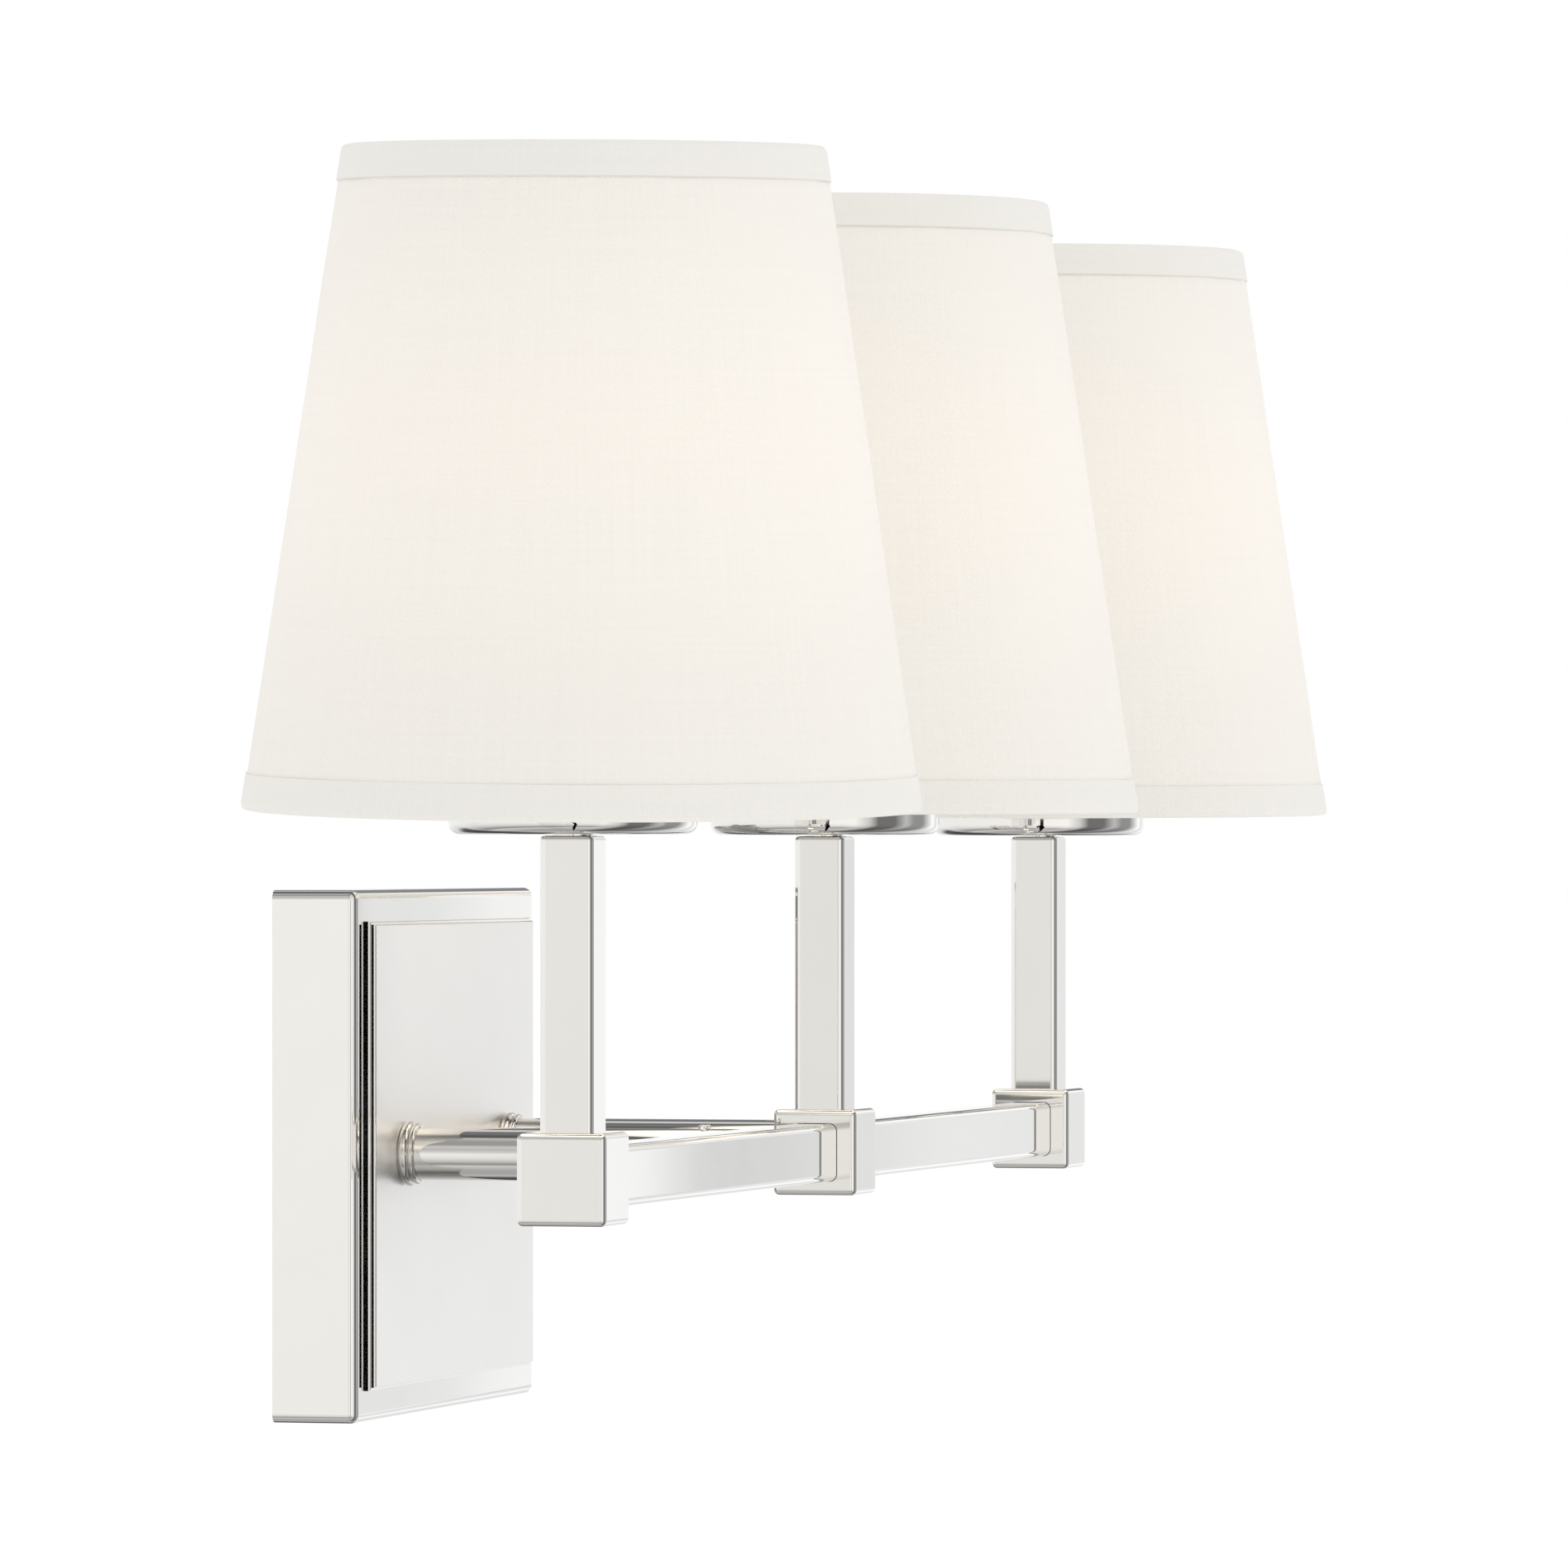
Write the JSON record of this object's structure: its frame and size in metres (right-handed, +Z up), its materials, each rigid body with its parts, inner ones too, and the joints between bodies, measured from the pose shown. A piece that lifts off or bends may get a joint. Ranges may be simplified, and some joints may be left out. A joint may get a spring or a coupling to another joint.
{
  "type": "three-light bath bar sconce",
  "caption": "Wall light with a boxed canopy, two round arms carrying a square bar, and upright posts with tapered fabric shades over screw-in bulbs.",
  "frame": {"origin": "centre of the canopy's and bracket's rear plane, where the light meets the wall", "axes": "+X along the bar, +Y into the wall, +Z up, shades above the bar"},
  "size_m": [0.5606, 0.1813, 0.2754],
  "materials": {
    "polished_nickel": "polished nickel plate",
    "plated_steel": "zinc plated",
    "brass_parts": "turned brass",
    "green_plated_steel": "green dyed plating",
    "socket_moulding": "white glazed moulding",
    "ring_moulding": "white moulding",
    "shade_fabric": "white linen laminated to a stiff liner",
    "hem_fabric": "white linen tape",
    "white_wire": "white coated wire",
    "frosted_glass": "frosted inside",
    "lamp_cap": "rolled aluminium",
    "black_insulation": "satin",
    "white_insulation": "satin",
    "green_insulation": "satin",
    "connector_plastic": "moulded"
  },
  "bodies": {
    "fixture": {"canopy_shell": "polished_nickel", "canopy_panel": "polished_nickel", "arm_left": "polished_nickel", "arm_right": "polished_nickel", "arm_ring_left": "polished_nickel", "arm_ring_right": "polished_nickel", "arm_set_screws": "polished_nickel", "canopy_screws": "polished_nickel", "bar_tube": "polished_nickel", "block_left": "polished_nickel", "block_centre": "polished_nickel", "block_right": "polished_nickel", "post_left": "polished_nickel", "post_centre": "polished_nickel", "post_right": "polished_nickel", "cup_left": "polished_nickel", "cup_centre": "polished_nickel", "cup_right": "polished_nickel", "wall_bracket": "plated_steel", "arm_nipples": "plated_steel", "arm_washers": "plated_steel", "arm_nuts": "plated_steel", "ground_terminal": "plated_steel", "threaded_pipes": "plated_steel", "cup_nuts": "plated_steel", "arm_stubs": "brass_parts", "cup_washers": "plated_steel", "socket_contacts": "brass_parts", "ground_screw": "green_plated_steel", "socket_body_left": "socket_moulding", "socket_body_centre": "socket_moulding", "socket_body_right": "socket_moulding", "socket_shell_left": "brass_parts", "socket_shell_centre": "brass_parts", "socket_shell_right": "brass_parts", "hot_leads": "black_insulation", "neutral_leads": "white_insulation", "ground_lead": "green_insulation", "wire_nuts": "connector_plastic"},
    "shade_left": {"shade_cover_left": "shade_fabric", "shade_trim_left": "hem_fabric", "shade_frame_left": "white_wire", "shade_spider_left": "white_wire"},
    "clamp_ring_left": {"shade_ring_left": "ring_moulding"},
    "bulb_left": {"bulb_glass_left": "frosted_glass", "bulb_base_left": "lamp_cap"},
    "shade_centre": {"shade_cover_centre": "shade_fabric", "shade_trim_centre": "hem_fabric", "shade_frame_centre": "white_wire", "shade_spider_centre": "white_wire"},
    "clamp_ring_centre": {"shade_ring_centre": "ring_moulding"},
    "bulb_centre": {"bulb_glass_centre": "frosted_glass", "bulb_base_centre": "lamp_cap"},
    "shade_right": {"shade_cover_right": "shade_fabric", "shade_trim_right": "hem_fabric", "shade_frame_right": "white_wire", "shade_spider_right": "white_wire"},
    "clamp_ring_right": {"shade_ring_right": "ring_moulding"},
    "bulb_right": {"bulb_glass_right": "frosted_glass", "bulb_base_right": "lamp_cap"}
  },
  "joints": [
    {"name": "shade_turn_left", "type": "hinge", "parent": "fixture", "child": "shade_left", "pos_m": [-0.2095, -0.1086, 0.09], "axis": [0, 0, 1], "continuous": true},
    {"name": "clamp_ring_turn_left", "type": "hinge", "parent": "fixture", "child": "clamp_ring_left", "pos_m": [-0.2095, -0.1086, 0.093], "axis": [0, 0, 1], "continuous": true},
    {"name": "bulb_out_left", "type": "slide", "parent": "fixture", "child": "bulb_left", "axis": [0, 0, 1], "range_m": [0, 0.15]},
    {"name": "shade_turn_centre", "type": "hinge", "parent": "fixture", "child": "shade_centre", "pos_m": [0, -0.1086, 0.09], "axis": [0, 0, 1], "continuous": true},
    {"name": "clamp_ring_turn_centre", "type": "hinge", "parent": "fixture", "child": "clamp_ring_centre", "pos_m": [0, -0.1086, 0.093], "axis": [0, 0, 1], "continuous": true},
    {"name": "bulb_out_centre", "type": "slide", "parent": "fixture", "child": "bulb_centre", "axis": [0, 0, 1], "range_m": [0, 0.15]},
    {"name": "shade_turn_right", "type": "hinge", "parent": "fixture", "child": "shade_right", "pos_m": [0.2095, -0.1086, 0.09], "axis": [0, 0, 1], "continuous": true},
    {"name": "clamp_ring_turn_right", "type": "hinge", "parent": "fixture", "child": "clamp_ring_right", "pos_m": [0.2095, -0.1086, 0.093], "axis": [0, 0, 1], "continuous": true},
    {"name": "bulb_out_right", "type": "slide", "parent": "fixture", "child": "bulb_right", "axis": [0, 0, 1], "range_m": [0, 0.15]}
  ]
}
